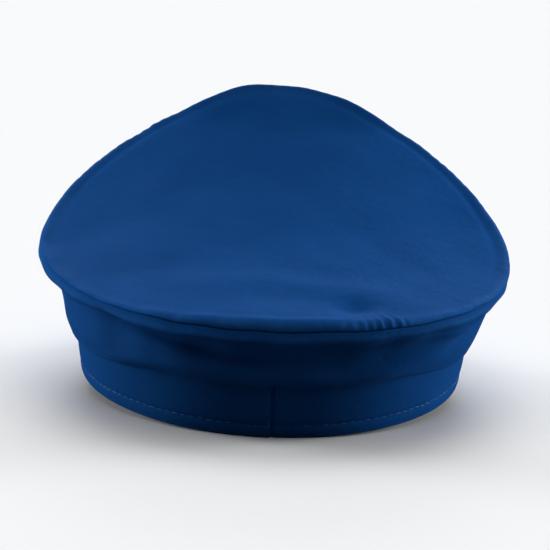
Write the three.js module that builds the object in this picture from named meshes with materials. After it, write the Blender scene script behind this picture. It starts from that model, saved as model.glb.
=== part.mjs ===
// A captain hat in plain blue cloth, standing on a table: a band round the head, a soft side
// crown that slumps over the band, a broad top panel that rises to a high front, and a peak.
//
// Millimetres, +Z up. The front faces -Y and the wearer's left is +X. The pieces are worked
// out level, with the band's hem in the plane z = 0, and the whole hat is then tipped back
// about X until it stands on the back of its hem and the front edge of its peak.
//
// A place round the hat is given by its turn: 0 degrees is the middle of the back, 90 the
// wearer's left and 180 the front. In each turn's upright section a point is given by its
// reach, the distance outwards from the hem's outer edge, and its height above the hem.

import * as THREE from 'three';

// ---------------------------------------------------------------- driving dimensions

const SECTIONS_AROUND = 60;
const CLOTH = 1.6; // crown cloth with its backing
const GAP = 0.3; // clearance between neighbouring pieces

const HEM_HALF_WIDTH = 86; // outer edge of the band's hem
const HEM_HALF_LENGTH = 99;
const SECTION_LEAN = 0.1; // radians, keeps the sections square to hem and rim

const BAND_HEIGHT = 36;
const BAND_THICKNESS = 2.4;
const BAND_FLARE = 2.8; // how much wider the band is above its flare height
const BAND_FLARE_HEIGHT = 22;
const BAND_EDGE = 0.6; // rounding of the band's edges

const RIM_HALF_WIDTH = 108; // outermost line of the crown, seen from above
const RIM_BACK = 116;
const RIM_FRONT = 126;
const RIM_WIDEST = -15;
const RIM_LEFT_LIFT = 1.5; // the left side of the rim is this much higher, the right lower
const SHOULDER_TURN = 162; // where the stiff front ends, a soft corner in the rim each side
const SHOULDER_SPREAD = 7;
const SHOULDER_LIFT = 1;
const ROLL_REACH = 3.5; // the top panel rolls over the rim in a quarter of an ellipse
const ROLL_RISE = 2.6;
const FOLD_RADIUS = 1; // where the side crown folds back up over the band
const LIP_DROP = 5; // depth of the lip under the top seam
const SEAM_TUCK = 1.2; // how far the top seam is pulled in behind the lip
const SEAM_TUCK_SIDEWAYS = 1.2; // added on the wearer's left and taken off on the right

const PEAK_HALF_SPREAD = 68; // degrees each way from the front
const PEAK_REACH = 44;
const PEAK_THICKNESS = 2.4;
const PEAK_EDGE = 0.8; // rounding of its edge
const PEAK_ROOT = 2; // width of the strip under the band's hem
const PEAK_RESTING_SPREAD = 28; // degrees each way over which its edge lies on the table
const PEAK_END_LIFT = 9; // height of its ends above the table line
const PEAK_TAPER_ANGLE = 87; // its reach follows a power of the cosine up to this angle
const PEAK_TAPER = 0.75;
const SECTIONS_ON_PEAK = 24;

const REST_TILT = 5.5; // degrees, tipped back on the table
const REST_SINK = 0.3; // cloth pressed flat where it meets the table

// The crown's section, in even steps of turn from the back round to the front. The two sides
// are alike. Rim: height of the top seam. Fold: the low edge of the slumped cloth. Bulge and
// bulgeOut, slack and slackOut: height and reach of the cloth's fullest and slackest places.
// Under and drop: where it starts to turn out under the rim, as a distance in and down.
const CROWN_COLUMNS = [
  'turn', 'rim', 'fold', 'bulge', 'bulgeOut', 'slack', 'slackOut', 'under', 'drop',
];
const CROWN_ROWS = [
  [0, 51.5, 24, 30, 9.2, 39, 8, 6, 6.5],
  [20, 51.2, 24, 30, 9.2, 39, 8, 6, 6.5],
  [40, 50.6, 23, 29, 9.4, 38, 8.2, 6, 6.5],
  [60, 50.6, 20, 27.5, 9.2, 36.5, 8.6, 6, 6.5],
  [80, 51.8, 16.5, 27, 8.3, 36, 9.2, 6, 6.5],
  [100, 58.4, 16.5, 28.5, 8.4, 39, 10.8, 6, 7],
  [120, 70, 20, 32.5, 8.8, 47, 13, 5.5, 8],
  [140, 84.2, 27, 38, 7.8, 56, 14, 5, 8.5],
  [160, 98, 32, 43, 7.2, 63, 13.8, 4.5, 9],
  [180, 105.4, 33, 44, 7.2, 65, 13.6, 4.4, 9],
];
const ROW_STEP = CROWN_ROWS[1][0] - CROWN_ROWS[0][0];

// Soft folds in the side crown's outer cloth. Lean is how far a fold drifts round the hat
// for each millimetre that it climbs, and depth is outwards.
const SIDE_FOLDS = [
  { turn: -54, height: 31, spread: 13, reach: 8, lean: -3.2, depth: 1.3 },
  { turn: 55, height: 28, spread: 12, reach: 6, lean: 1.2, depth: 0.9 },
  { turn: 148, height: 62, spread: 7, reach: 20, lean: 0.55, depth: -1.8 },
  { turn: -146, height: 60, spread: 7, reach: 19, lean: -0.6, depth: -2 },
  { turn: 122, height: 44, spread: 8, reach: 13, lean: 0.5, depth: 1.4 },
  { turn: -120, height: 45, spread: 8, reach: 14, lean: -0.5, depth: 1.5 },
];

// Soft dents in the top panel: a middle, how far the dent runs and how wide it is, the
// angle of its run from +X, and its depth.
const TOP_DENTS = [
  { x: -26, y: -99, run: 34, width: 13, angle: 28, depth: 2.2 },
  { x: 24, y: -97, run: 22, width: 12, angle: -40, depth: 1.4 },
  { x: -82, y: -34, run: 34, width: 12, angle: 62, depth: 1.4 },
  { x: -40, y: 92, run: 18, width: 9, angle: -12, depth: 1.4 },
  { x: -10, y: 62, run: 60, width: 16, angle: -4, depth: -1.4 },
];

// ---------------------------------------------------------------- curves and tables

const RADIANS = Math.PI / 180;
const HALF_CLOTH = CLOTH / 2;

// A smooth curve through evenly spaced values, at a place given in steps from values[1].
function throughValues(values, place) {
  const cell = Math.min(Math.max(Math.floor(place), 0), values.length - 4);
  const f = place - cell;
  const [a, b, c, d] = values.slice(cell, cell + 4);
  const slope = (c - a) * f;
  const bend = (2 * a - 5 * b + 4 * c - d) * f * f;
  const turnBack = (3 * b - a - 3 * c + d) * f * f * f;
  return b + 0.5 * (slope + bend + turnBack);
}

// One column of the crown's table at any turn, mirrored at the back and at the front.
function crownColumn(name, turn) {
  const column = CROWN_ROWS.map((row) => row[CROWN_COLUMNS.indexOf(name)]);
  const mirrored = [column[1], ...column, column[column.length - 2]];
  const wrapped = Math.abs(((turn + 540) % 360) - 180);
  return throughValues(mirrored, wrapped / ROW_STEP);
}

// Points along a smooth curve through a list of [reach, height] knots.
function throughKnots(knots, stepsBetween) {
  const first = knots[0];
  const last = knots[knots.length - 1];
  const padded = [first, ...knots, last];
  const count = (knots.length - 1) * stepsBetween;
  return Array.from({ length: count + 1 }, (unused, i) => {
    const place = i / stepsBetween;
    return [0, 1].map((axis) => throughValues(padded.map((knot) => knot[axis]), place));
  });
}

// ---------------------------------------------------------------- plan and sections

function hemPoint(turn) {
  const angle = turn * RADIANS;
  const leaned = angle + SECTION_LEAN * Math.sin(angle);
  return new THREE.Vector2(HEM_HALF_WIDTH * Math.sin(leaned), HEM_HALF_LENGTH * Math.cos(leaned));
}

function rimPoint(turn) {
  const angle = turn * RADIANS;
  const along = Math.cos(angle);
  const reach = along > 0 ? RIM_BACK - RIM_WIDEST : RIM_FRONT + RIM_WIDEST;
  return new THREE.Vector2(RIM_HALF_WIDTH * Math.sin(angle), RIM_WIDEST + reach * along);
}

function rimReach(turn) {
  return rimPoint(turn).distanceTo(hemPoint(turn));
}

// A point of a section, given by its turn, reach and height.
function sectionPoint(turn, reach, height) {
  const hem = hemPoint(turn);
  const outwards = rimPoint(turn).sub(hem).normalize();
  return new THREE.Vector3(hem.x + outwards.x * reach, hem.y + outwards.y * reach, height);
}

// The band's outer face leans out from the hem and is upright above the flare height.
function bandFace(height) {
  return BAND_FLARE * Math.sin(Math.min(height / BAND_FLARE_HEIGHT, 1) * 90 * RADIANS);
}

// Height of the top seam: the table's rim column, with the shoulders of the stiff front.
function rimHeight(turn) {
  const wrapped = Math.abs(((turn + 540) % 360) - 180);
  const fromShoulder = (wrapped - SHOULDER_TURN) / SHOULDER_SPREAD;
  const shoulder = SHOULDER_LIFT * Math.exp(-fromShoulder * fromShoulder);
  return crownColumn('rim', turn) + RIM_LEFT_LIFT * Math.sin(turn * RADIANS) ** 3 + shoulder;
}

// Height of the table below the level hat, at a place along Y.
function tableHeight(y) {
  return (y - HEM_HALF_LENGTH) * Math.tan(REST_TILT * RADIANS) + REST_SINK;
}

function seamTuck(turn) {
  return SEAM_TUCK + SEAM_TUCK_SIDEWAYS * Math.sin(turn * RADIANS);
}

// ---------------------------------------------------------------- closed meshes

// Joins points and triangles into a closed geometry whose faces point outwards.
function closedGeometry(points, triangles) {
  let volume = 0;
  for (const [a, b, c] of triangles) {
    volume += points[a].dot(new THREE.Vector3().crossVectors(points[b], points[c])) / 6;
  }
  const outwards = volume > 0 ? triangles : triangles.map(([a, b, c]) => [a, c, b]);
  const geometry = new THREE.BufferGeometry();
  geometry.setFromPoints(points);
  geometry.setIndex(outwards.flat());
  geometry.computeVertexNormals();
  return geometry;
}

// Triangles between two loops of points, whose first indices and common length are given.
function bridge(firstLoop, secondLoop, length, closed) {
  const triangles = [];
  const last = closed ? length : length - 1;
  for (let i = 0; i < last; i += 1) {
    const next = (i + 1) % length;
    triangles.push([firstLoop + i, firstLoop + next, secondLoop + next]);
    triangles.push([firstLoop + i, secondLoop + next, secondLoop + i]);
  }
  return triangles;
}

// A solid ring: closed section loops, one for each step round the hat.
function ringGeometry(loops) {
  const length = loops[0].length;
  const triangles = loops.flatMap((loop, i) => {
    const next = (i + 1) % loops.length;
    return bridge(i * length, next * length, length, true);
  });
  return closedGeometry(loops.flat(), triangles);
}

// A solid bar: closed section loops, with a fan of triangles across each end.
function barGeometry(loops) {
  const length = loops[0].length;
  const triangles = [];
  for (let i = 0; i + 1 < loops.length; i += 1) {
    triangles.push(...bridge(i * length, (i + 1) * length, length, true));
  }
  const end = (loops.length - 1) * length;
  for (let i = 1; i + 1 < length; i += 1) {
    triangles.push([0, i + 1, i]);
    triangles.push([end, end + i, end + i + 1]);
  }
  return closedGeometry(loops.flat(), triangles);
}

// A solid shell: rings of points from the middle of its outer face, over its edge, to the
// middle of its inner face.
function shellGeometry(outerMiddle, rings, innerMiddle) {
  const length = rings[0].length;
  const points = [outerMiddle, ...rings.flat(), innerMiddle];
  const triangles = [];
  for (let i = 0; i < length; i += 1) {
    triangles.push([0, 1 + i, 1 + ((i + 1) % length)]);
  }
  for (let i = 0; i + 1 < rings.length; i += 1) {
    triangles.push(...bridge(1 + (i + 1) * length, 1 + i * length, length, true));
  }
  const lastRing = 1 + (rings.length - 1) * length;
  for (let i = 0; i < length; i += 1) {
    triangles.push([points.length - 1, lastRing + ((i + 1) % length), lastRing + i]);
  }
  return closedGeometry(points, triangles);
}

// Both sides of a cloth whose middle line is given in [reach, height]. Its last edge is cut
// level, to meet the top panel.
function clothSides(middleLine) {
  const last = middleLine.length - 1;
  const sides = middleLine.map(([reach, height], i) => {
    const before = middleLine[Math.max(i - 1, 0)];
    const after = middleLine[Math.min(i + 1, last)];
    const run = Math.hypot(after[0] - before[0], after[1] - before[1]);
    const square = [(after[1] - before[1]) / run, (before[0] - after[0]) / run];
    const across = i === last ? [1, 0] : square;
    return [1, -1].map((side) => [
      reach + side * HALF_CLOTH * across[0],
      height + side * HALF_CLOTH * across[1],
    ]);
  });
  const right = sides.map((pair) => pair[0]);
  const left = sides.map((pair) => pair[1]);
  return [...right, ...left.reverse()];
}

const turns = Array.from({ length: SECTIONS_AROUND }, (unused, i) => (i * 360) / SECTIONS_AROUND);

// ---------------------------------------------------------------- band

// The band's wall, with its edges rounded, pressed flat where it meets the table.
function bandSection(turn) {
  const flareMiddle = BAND_FLARE_HEIGHT / 3;
  const outer = [BAND_EDGE, flareMiddle, BAND_FLARE_HEIGHT, BAND_HEIGHT - BAND_EDGE];
  const wall = [
    [-BAND_EDGE, 0],
    ...outer.map((height) => [bandFace(height), height]),
    [BAND_FLARE - BAND_EDGE, BAND_HEIGHT],
    [BAND_FLARE - BAND_THICKNESS + BAND_EDGE, BAND_HEIGHT],
    ...outer.reverse().map((height) => [bandFace(height) - BAND_THICKNESS, height]),
    [BAND_EDGE - BAND_THICKNESS, 0],
  ];
  return wall.map(([reach, height]) => {
    const point = sectionPoint(turn, reach, height);
    point.z = Math.max(point.z, tableHeight(point.y));
    return point;
  });
}

function bandGeometry() {
  return ringGeometry(turns.map(bandSection));
}

// ---------------------------------------------------------------- side crown

function sideFold(turn, height) {
  return SIDE_FOLDS.reduce((sum, fold) => {
    const middle = fold.turn + fold.lean * (height - fold.height);
    const aside = (((turn - middle + 540) % 360) - 180) / fold.spread;
    const above = (height - fold.height) / fold.reach;
    return sum + fold.depth * Math.exp(-aside * aside - above * above);
  }, 0);
}

// The middle line of the side crown's cloth: off the band's top edge, down outside the
// band, round the fold, up over its full and slack places, and round the lip to the top seam.
function sideCrownLine(turn) {
  const column = (name) => crownColumn(name, turn);
  const clear = GAP + HALF_CLOTH;
  const topEdge = BAND_HEIGHT + clear;
  const foldMiddle = column('fold') + HALF_CLOTH + FOLD_RADIUS;
  const foldReach = bandFace(foldMiddle) + clear + FOLD_RADIUS;
  const rim = rimReach(turn) - HALF_CLOTH;
  const seam = rimHeight(turn);

  const overCorner = [0, 45].map((degrees) => [
    BAND_FLARE + clear * Math.sin(degrees * RADIANS),
    BAND_HEIGHT + clear * Math.cos(degrees * RADIANS),
  ]);
  const downBand = [0, 0.4, 0.75].map((share) => {
    const height = BAND_HEIGHT + share * (foldMiddle - BAND_HEIGHT);
    return [bandFace(height) + clear, height];
  });
  const roundFold = [180, 225, 270, 315].map((degrees) => [
    foldReach + FOLD_RADIUS * Math.cos(degrees * RADIANS),
    foldMiddle + FOLD_RADIUS * Math.sin(degrees * RADIANS),
  ]);
  const upOuter = throughKnots(
    [
      [foldReach + FOLD_RADIUS, foldMiddle],
      [column('bulgeOut') - HALF_CLOTH, column('bulge')],
      [column('slackOut') - HALF_CLOTH, column('slack')],
      [rim - column('under'), seam - column('drop')],
      [rim - 1.4, seam - LIP_DROP],
      [rim, seam - 0.6 * LIP_DROP],
      [rim - seamTuck(turn), seam - GAP / 2],
    ],
    2,
  );
  const outer = upOuter.map(([reach, height], i) => {
    const held = i < 1 || i > 8 ? 0 : 1;
    return [reach + held * sideFold(turn, height), height];
  });
  return [[BAND_FLARE - 2, topEdge], ...overCorner, ...downBand, ...roundFold, ...outer];
}

function sideCrownGeometry() {
  return ringGeometry(
    turns.map((turn) =>
      clothSides(sideCrownLine(turn)).map(([reach, height]) => sectionPoint(turn, reach, height)),
    ),
  );
}

// ---------------------------------------------------------------- top panel

// The rim's height as a sum of waves round the hat. Inside the rim each wave fades as a
// power of the distance from the middle, which is how an evenly stretched cloth hangs.
const RIM_WAVES = Array.from({ length: 16 }, (unused, wave) => {
  const share = (wave === 0 ? 1 : 2) / turns.length;
  const part = (along) =>
    turns.reduce((sum, turn) => sum + rimHeight(turn) * along(wave * turn * RADIANS), 0);
  return { cosine: share * part(Math.cos), sine: share * part(Math.sin) };
});

function stretchedHeight(turn, share) {
  const start = ROLL_RISE;
  return RIM_WAVES.reduce((sum, { cosine, sine }, wave) => {
    const angle = wave * turn * RADIANS;
    return sum + share ** wave * (cosine * Math.cos(angle) + sine * Math.sin(angle));
  }, start);
}

function topDent(x, y) {
  return TOP_DENTS.reduce((sum, dent) => {
    const cos = Math.cos(dent.angle * RADIANS);
    const sin = Math.sin(dent.angle * RADIANS);
    const along = ((x - dent.x) * cos + (y - dent.y) * sin) / dent.run;
    const across = ((y - dent.y) * cos - (x - dent.x) * sin) / dent.width;
    return sum - dent.depth * Math.exp(-along * along - across * across);
  }, 0);
}

const TOP_MIDDLE_Y = (RIM_BACK - RIM_FRONT) / 2;

// A point of the top panel's outer face inside its roll. Share is 0 in the middle and 1
// where the roll starts.
function topPoint(turn, share) {
  const edge = sectionPoint(turn, rimReach(turn) - seamTuck(turn) - ROLL_REACH, 0);
  const x = edge.x * share;
  const y = TOP_MIDDLE_Y + (edge.y - TOP_MIDDLE_Y) * share;
  const held = 1 - share ** 6;
  return new THREE.Vector3(x, y, stretchedHeight(turn, share) + held * topDent(x, y));
}

// A point of the roll, from its start at 0 degrees to the top seam at 90.
function rollPoint(turn, degrees, thickness) {
  const start = topPoint(turn, 1);
  const seam = rimReach(turn) - seamTuck(turn);
  const seamHeight = rimHeight(turn) + GAP / 2;
  const reach = seam - ROLL_REACH + (ROLL_REACH - thickness) * Math.sin(degrees * RADIANS);
  const rise = start.z - seamHeight;
  const height = seamHeight + rise * Math.cos(degrees * RADIANS);
  return sectionPoint(turn, reach, height - thickness * Math.cos(degrees * RADIANS));
}

function topPanelGeometry() {
  const shares = [0.22, 0.44, 0.64, 0.81, 0.94];
  const rollDegrees = [0, 30, 60, 90];
  const ring = (place) => turns.map(place);
  const lowered = (turn, share) => topPoint(turn, share).setZ(topPoint(turn, share).z - CLOTH);
  const outer = shares.map((share) => ring((turn) => topPoint(turn, share)));
  const inner = shares.map((share) => ring((turn) => lowered(turn, share)));
  const outerRoll = rollDegrees.map((degrees) => ring((turn) => rollPoint(turn, degrees, 0)));
  const innerRoll = rollDegrees.map((degrees) => ring((turn) => rollPoint(turn, degrees, CLOTH)));
  return shellGeometry(
    topPoint(0, 0),
    [...outer, ...outerRoll, ...innerRoll.reverse(), ...inner.reverse()],
    lowered(0, 0),
  );
}

// ---------------------------------------------------------------- peak

// A stiff cloth-covered plate. Its root lies under the hem, and its edge is on the table
// across the middle and lifts towards the ends.
function peakSection(aside) {
  const turn = 180 + aside;
  const share = Math.abs(aside) / PEAK_HALF_SPREAD;
  const reach = PEAK_REACH * Math.cos(share * PEAK_TAPER_ANGLE * RADIANS) ** PEAK_TAPER;
  const edge = sectionPoint(turn, reach, 0);
  const beyond = Math.max(Math.abs(aside) - PEAK_RESTING_SPREAD, 0);
  const lift = PEAK_END_LIFT * (beyond / (PEAK_HALF_SPREAD - PEAK_RESTING_SPREAD)) ** 2;
  const edgeHeight = tableHeight(edge.y) + lift;
  const top = [
    [-PEAK_ROOT, -GAP],
    [0, -GAP],
    ...[0.25, 0.5, 0.75, 1].map((part) => {
      const fall = 0.7 * part + 0.3 * part * part;
      return [(reach - PEAK_EDGE) * part, (edgeHeight + PEAK_THICKNESS + GAP) * fall - GAP];
    }),
  ];
  const rounded = [
    [reach, edgeHeight + PEAK_THICKNESS - PEAK_EDGE],
    [reach, edgeHeight + PEAK_EDGE],
  ];
  const bottom = top.map(([along, height]) => [along, height - PEAK_THICKNESS]).reverse();
  return [...top, ...rounded, ...bottom].map(([along, height]) => {
    const point = sectionPoint(turn, along, height);
    point.z = Math.max(point.z, tableHeight(point.y));
    return point;
  });
}

function peakGeometry() {
  const asides = Array.from(
    { length: SECTIONS_ON_PEAK + 1 },
    (unused, i) => PEAK_HALF_SPREAD * ((2 * i) / SECTIONS_ON_PEAK - 1),
  );
  return barGeometry(asides.map(peakSection));
}

// ---------------------------------------------------------------- the hat

function clothPiece(name, geometry, colour, roughness) {
  const material = new THREE.MeshStandardMaterial({ color: colour, roughness, metalness: 0 });
  const mesh = new THREE.Mesh(geometry, material);
  mesh.name = name;
  return mesh;
}

const tipped = new THREE.Group();
tipped.rotation.x = -REST_TILT * RADIANS;
tipped.add(clothPiece('band', bandGeometry(), 0x17468a, 0.8));
tipped.add(clothPiece('side_crown', sideCrownGeometry(), 0x17468a, 0.8));
tipped.add(clothPiece('top_panel', topPanelGeometry(), 0x1a4b92, 0.8));
tipped.add(clothPiece('peak', peakGeometry(), 0x17468a, 0.75));

// The origin is the middle of the hat's footprint, at the height of the table.
const hat = new THREE.Group();
hat.add(tipped);
hat.updateMatrixWorld(true);
const extent = new THREE.Box3().setFromObject(hat, true);
const middle = extent.getCenter(new THREE.Vector3());
tipped.position.set(-middle.x, -middle.y, -extent.min.z);

export default hat;
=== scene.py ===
# %% [markdown]
# # A captain hat in blue cloth
#
# The hat is cut from one blue cloth. A broad top panel is sewn all round to a slack side
# crown, the side crown to an upright head band, and a stiff peak sits under the band at
# the front. The crown has no stiffener at the back, so its cloth slumps over the band in a
# long soft fold, while the front stands high.
#
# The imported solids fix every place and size. Each of the four is replaced here by a cloth
# piece of the same form, with the finer folds, gathers, seams and stitches that only show
# close up. The hat stands empty on a table and is seen from behind.

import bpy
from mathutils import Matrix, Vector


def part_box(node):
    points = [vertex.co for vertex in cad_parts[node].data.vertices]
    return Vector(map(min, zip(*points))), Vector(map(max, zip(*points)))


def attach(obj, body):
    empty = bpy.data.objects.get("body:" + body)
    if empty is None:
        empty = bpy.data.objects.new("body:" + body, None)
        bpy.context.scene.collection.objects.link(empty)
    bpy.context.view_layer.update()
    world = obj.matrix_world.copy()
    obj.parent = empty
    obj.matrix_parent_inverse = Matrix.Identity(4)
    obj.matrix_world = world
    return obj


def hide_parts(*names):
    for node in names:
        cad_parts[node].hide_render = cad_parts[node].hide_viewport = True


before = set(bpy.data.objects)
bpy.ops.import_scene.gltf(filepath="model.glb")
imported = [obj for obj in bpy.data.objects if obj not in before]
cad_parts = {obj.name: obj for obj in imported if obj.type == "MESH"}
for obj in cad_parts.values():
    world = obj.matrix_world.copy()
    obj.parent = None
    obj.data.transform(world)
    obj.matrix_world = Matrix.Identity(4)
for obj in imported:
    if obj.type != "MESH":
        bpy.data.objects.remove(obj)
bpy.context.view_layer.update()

import bpy
import numpy as np
from mathutils import Matrix

MM = 0.001
RADIANS = np.pi / 180

# %% [markdown]
# ## Places on a hat
#
# A hat maker works from sections: cut the hat upright through its middle and look at the
# edge of the cut. The same is done here. A place round the hat is its turn, in degrees: 0
# is the middle of the back, 90 the wearer's left and 180 the front. In the section at that
# turn a point has a reach, outwards from the hem, and a height above the hem.
#
# The hat is worked out level, as it is worn, and tipped at the end onto the back of its hem
# and the edge of its peak, as it stands on a table.

# %% Measures of the cut
CLOTH = 0.7 * MM
GAP = 0.3 * MM
HEM_HALF_WIDTH = 86 * MM
HEM_HALF_LENGTH = 99 * MM
SECTION_LEAN = 0.1
RIM_HALF_WIDTH = 108 * MM
RIM_BACK = 116 * MM
RIM_FRONT = 126 * MM
RIM_WIDEST = -15 * MM
REST_TILT = 5.5 * RADIANS
REST_SINK = 0.3 * MM

# %% Unit vectors and bell curves


def unit(vectors):
    """Vectors divided by their own length."""
    return vectors / np.linalg.norm(vectors, axis=-1, keepdims=True)


def hump(away, width):
    """A bell curve of a distance: 1 at none, and e to the minus one a width away."""
    return np.exp(-((away / width) ** 2))


def turned(turn, middle):
    """Degrees from a middle turn, the short way round."""
    return np.mod(turn - middle + 180, 360) - 180


def bell(turn, middle, width, power=2):
    """A bell curve round the hat about a middle turn; a power of 4 gives it a flat top."""
    return np.exp(-((turned(turn, middle) / width) ** power))


# %% Plan of the hem and of the rim


def hem_point(turn):
    """The hem's outer edge: an ellipse, whose angle runs a little ahead at the sides."""
    leaned = turn * RADIANS + SECTION_LEAN * np.sin(turn * RADIANS)
    return np.stack([HEM_HALF_WIDTH * np.sin(leaned), HEM_HALF_LENGTH * np.cos(leaned)], -1)


def rim_point(turn):
    """The crown's outermost line: two half ellipses that meet at its widest place."""
    along = np.cos(turn * RADIANS)
    reach = np.where(along > 0, RIM_BACK - RIM_WIDEST, RIM_FRONT + RIM_WIDEST)
    return np.stack([RIM_HALF_WIDTH * np.sin(turn * RADIANS), RIM_WIDEST + reach * along], -1)


def rim_reach(turn):
    """How far the rim stands out from the hem, in each turn's section."""
    return np.linalg.norm(rim_point(turn) - hem_point(turn), axis=-1)


def section_point(turn, reach, height):
    """Points [turns, places, 3]: from the hem, outwards towards the rim by the reach."""
    hem = hem_point(turn)
    outwards = unit(rim_point(turn) - hem)
    reach, height = np.broadcast_arrays(reach, height)
    plan = hem[:, None, :] + outwards[:, None, :] * reach[..., None]
    return np.concatenate([plan, height[..., None]], axis=-1)


def round_length(turn):
    """Distance along the hem from the middle of the back, for cloth that runs round it."""
    fine = np.linspace(0, 360, 1441)
    steps = np.linalg.norm(np.diff(hem_point(fine), axis=0), axis=-1)
    return np.interp(turn, fine, np.concatenate([[0], np.cumsum(steps)]))


HEM_ROUND = float(round_length(360.0))
print("hem is", round(HEM_ROUND / MM), "mm round")

# %% [markdown]
# ## The crown's pattern
#
# The crown is charted by ten sections of one side, from the back round to the front. Each
# column gives one feature of the section: the height of the top seam, the low edge of the
# slumped fold, and where the cloth is fullest and slackest above it. Between sections the
# cloth runs on evenly, which a cubic spline that closes on itself does best: unlike a
# simple blend it has no sudden change of bend, and shading shows such changes at once.

# %% Chart of the crown and the spline that reads it
TURN_STEP = 20
CROWN = {
    "rim": [51.5, 51.2, 50.6, 50.6, 51.8, 58.4, 70, 84.2, 98, 105.4],
    "fold": [24, 24, 23, 20.6, 20, 19.6, 21.5, 27, 32, 33],
    "bulge": [30, 30, 29, 28, 28.5, 29.5, 32.5, 38, 43, 44],
    "bulge_out": [9.2, 9.2, 9.4, 9.0, 8.2, 8.0, 8.5, 7.8, 7.2, 7.2],
    "slack": [39, 39, 38, 37, 37, 39.5, 47, 56, 63, 65],
    "slack_out": [8, 8, 8.2, 9.2, 11, 12, 13, 14, 13.8, 13.6],
    "under": [6, 6, 6, 6, 6, 6, 5.5, 5, 4.5, 4.4],
    "drop": [6.5, 6.5, 6.5, 6.5, 6.5, 7, 8, 8.5, 9, 9],
}


def spline_weights(f):
    """The shares of four neighbouring controls in a smooth curve, f past the second."""
    start = (1 - f) ** 3
    second = 4 - 6 * f**2 + 3 * f**3
    third = 1 + 3 * f + 3 * f**2 - 3 * f**3
    return np.stack([start, second, third, f**3]) / 6


def crown_column(name, turn):
    """One column at any turn, in metres, mirrored to the other side of the hat."""
    side = np.array(CROWN[name]) * MM
    ring = np.concatenate([side, side[-2:0:-1]])
    count = len(ring)
    share = (4 + 2 * np.cos(2 * np.pi * np.arange(count) / count)) / 6
    controls = np.fft.ifft(np.fft.fft(ring) / share).real
    place = np.mod(turn, 360) / TURN_STEP
    cell = np.floor(place).astype(int)
    weights = spline_weights(place - cell)
    return sum(weights[k] * controls[(cell + k - 1) % count] for k in range(4))


def through_knots(knots, steps):
    """A smooth curve through knots [turns, knots, 2]: controls whose blend is the knots."""
    count = knots.shape[1]
    blend = (4 * np.eye(count) + np.eye(count, k=1) + np.eye(count, k=-1)) / 6
    blend[0, :2] = [1, 0]
    blend[-1, -2:] = [0, 1]
    inner = np.einsum("ij,njc->nic", np.linalg.inv(blend), knots)
    before = 2 * inner[:, :1] - inner[:, 1:2]
    after = 2 * inner[:, -1:] - inner[:, -2:-1]
    controls = np.concatenate([before, inner, after], axis=1)
    place = np.concatenate([k + np.arange(s) / s for k, s in enumerate(steps)] + [[count - 1]])
    cell = np.minimum(place.astype(int), count - 2)
    weights = spline_weights(place - cell)
    return sum(weights[k][:, None] * controls[:, cell + k] for k in range(4))


print("rim height at the back, side and front:", crown_column("rim", np.array([0, 90, 180])))

# %% [markdown]
# ## Small unevenness
#
# Sewn cloth is never quite even. A seam wanders by a fraction of a millimetre and gathers
# the cloth beside it. Waves that fit a whole number of times round the hat, with random
# sizes and starts, give such wandering with no break where the ring closes. The random
# numbers have a fixed seed, so every run sews the same hat.

# %% Waves round the hat


def wandering(turn, waves, size, seed):
    """Sum of whole waves round the hat with random starts, about size in height."""
    draw = np.random.default_rng(seed)
    count = np.arange(waves[0], waves[1] + 1)
    start = draw.uniform(0, 2 * np.pi, len(count))
    height = draw.normal(size=len(count)) * size / np.sqrt(len(count) / 2)
    angle = np.asarray(turn)[..., None] * RADIANS * count + start
    return (np.cos(angle) * height).sum(-1)


# %% The rim's height and how far its seam is pulled in
RIM_LEFT_LIFT = 2.1 * MM
SHOULDERS = [
    dict(turn=167, spread=9, lift=2.1),
    dict(turn=-162, spread=8, lift=1.5),
]


def rim_height(turn):
    """The top seam: the chart's rim, higher on the left, with the stiff front's corners."""
    level = crown_column("rim", turn) + RIM_LEFT_LIFT * np.sin(turn * RADIANS) ** 3
    for row in SHOULDERS:
        level = level + row["lift"] * MM * bell(turn, row["turn"], row["spread"])
    return level + wandering(turn, (9, 34), 0.16 * MM, 5)


def pressed(turn):
    """Where the seam is pressed flat, on the left: 1 there and 0 elsewhere."""
    return bell(turn, 65, 40, power=4)


def panel_tuck(turn):
    """How far the top panel's edge stands behind the rim: most on the left, none on the right."""
    return 0.8 * MM + 0.8 * MM * np.sin((turn + 8) * RADIANS)


def lip_tuck(turn):
    """How far the lip below the seam stands behind the rim: only on the right."""
    return 0.9 * MM * (1 - np.sin((turn + 25) * RADIANS)) ** 2 / 4


def table_height(y):
    """Height of the table below the level hat."""
    return (y - HEM_HALF_LENGTH) * np.tan(REST_TILT) + REST_SINK


# %% [markdown]
# ## From the level hat to the table
#
# The level hat is turned back about the cross axis and set on the table. How far it moves
# is read from the band's solid: the same band is worked out level, tipped, and its box laid
# on the solid's box.

# %% The band's form, and standing the hat on the table
BAND_HEIGHT = 36 * MM
BAND_THICKNESS = 2.4 * MM
BAND_FLARE = 2.8 * MM
BAND_FLARE_HEIGHT = 22 * MM


def band_face(height):
    """The band leans out from its hem along a quarter of a sine, then stands upright."""
    return BAND_FLARE * np.sin(np.clip(height / BAND_FLARE_HEIGHT, 0, 1) * 90 * RADIANS)


def tipped(points):
    """Points turned back about the cross axis by the tilt at rest."""
    cos, sin = np.cos(REST_TILT), np.sin(REST_TILT)
    x, y, z = np.moveaxis(points, -1, 0)
    return np.stack([x, y * cos + z * sin, z * cos - y * sin], axis=-1)


def band_place():
    """The move that lays the tipped band's box on the box of the band's solid."""
    turn = np.arange(0, 360, 6.0)
    height = np.array([0, BAND_HEIGHT])
    outline = section_point(turn, band_face(height)[None], height[None] + 0 * turn[:, None])
    outline[..., 2] = np.maximum(outline[..., 2], table_height(outline[..., 1]))
    level = tipped(outline).reshape(-1, 3)
    low, high = (np.array(corner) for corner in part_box("band"))
    move = (low + high) / 2 - (level.min(0) + level.max(0)) / 2
    move[2] = low[2] - level[:, 2].min()
    return move


PLACE = band_place()


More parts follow.
